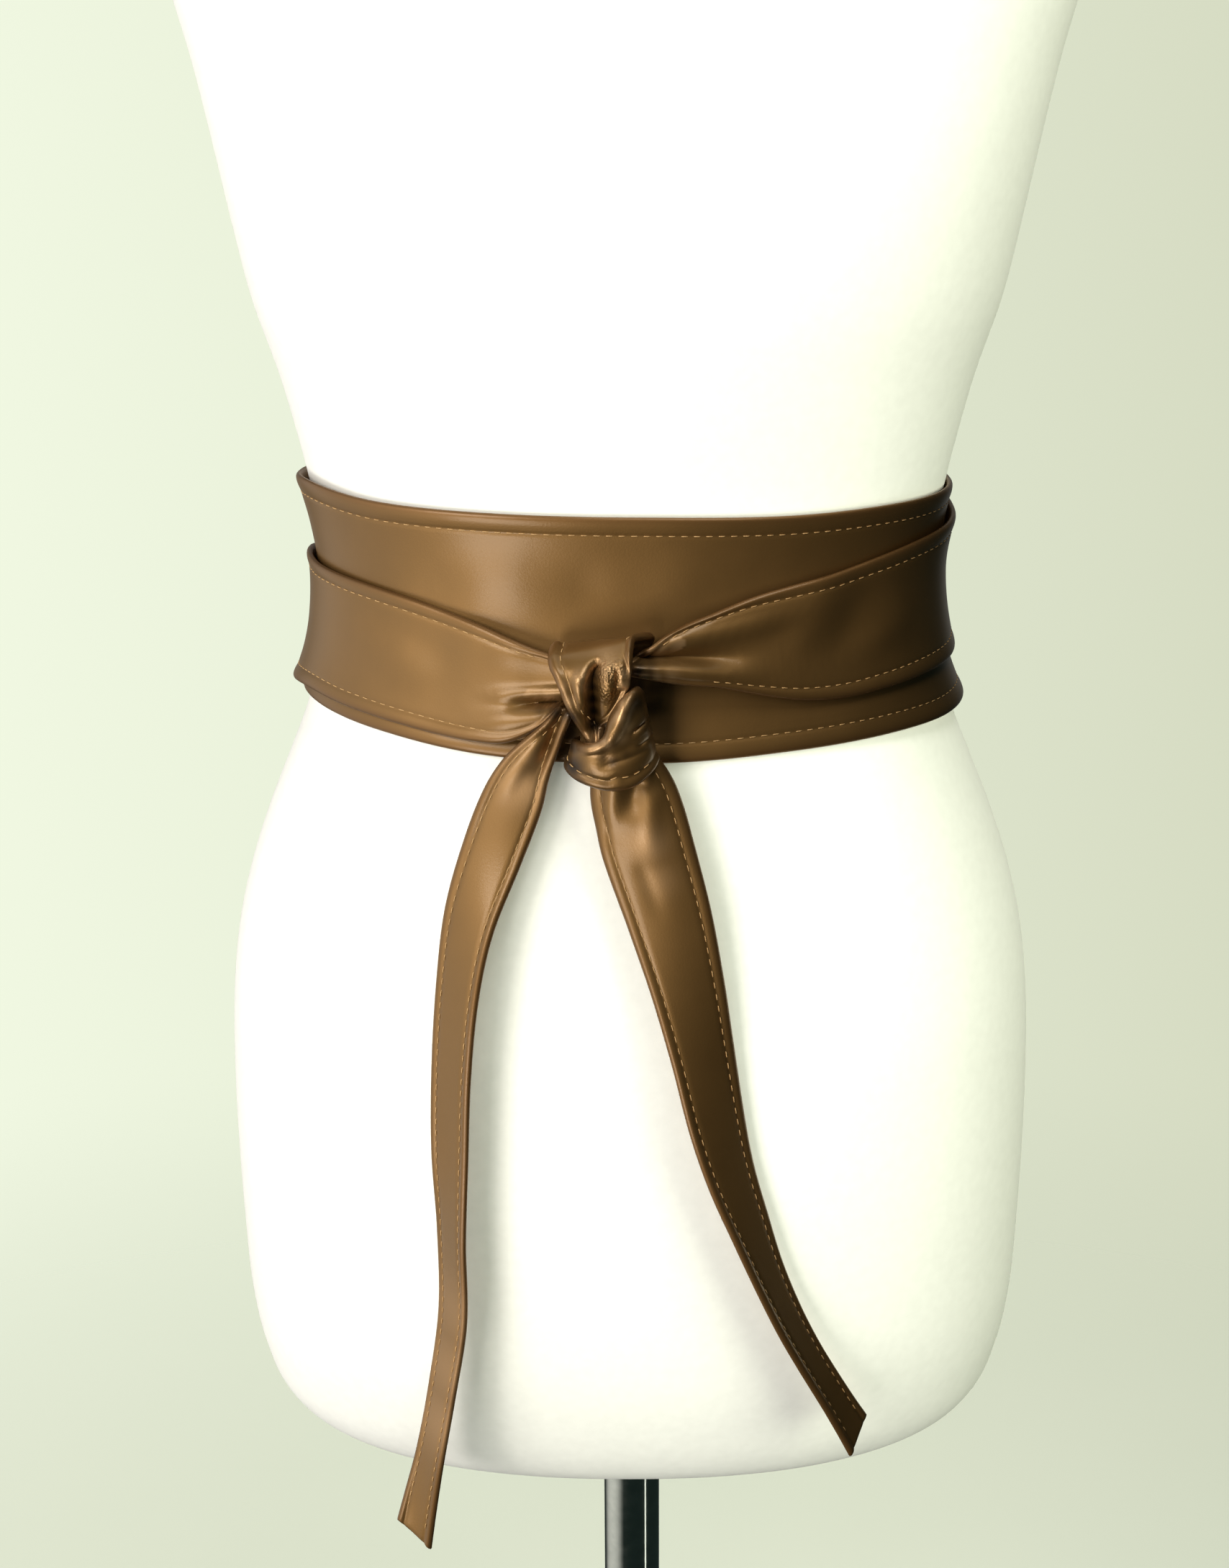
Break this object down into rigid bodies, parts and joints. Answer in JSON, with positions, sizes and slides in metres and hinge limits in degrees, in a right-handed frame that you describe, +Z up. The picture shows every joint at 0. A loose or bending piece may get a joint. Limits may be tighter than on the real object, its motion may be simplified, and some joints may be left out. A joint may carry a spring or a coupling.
{
  "type": "leather obi belt on a dress form",
  "caption": "Wide wrap belt of doubled brown leather, wound round a white limbless dress form on a pole and knotted at the front with two hanging tails.",
  "frame": {"origin": "on the floor, under the middle of the pole", "axes": "+Z up, the knot faces -Y, +X to the viewer's right"},
  "size_m": [0.37, 0.34, 1.51],
  "materials": {
    "leather": "smooth satin brown leather",
    "form_shell": "smooth matt white",
    "chrome": "polished"
  },
  "bodies": {
    "root": {"front_panel": "leather", "back_over": "leather", "back_under": "leather", "wrap_left": "leather", "wrap_right": "leather", "knot_fold": "leather", "knot_band": "leather", "tail_left": "leather", "tail_right": "leather", "form_torso": "form_shell", "pole": "chrome", "base": "chrome"}
  },
  "joints": []
}
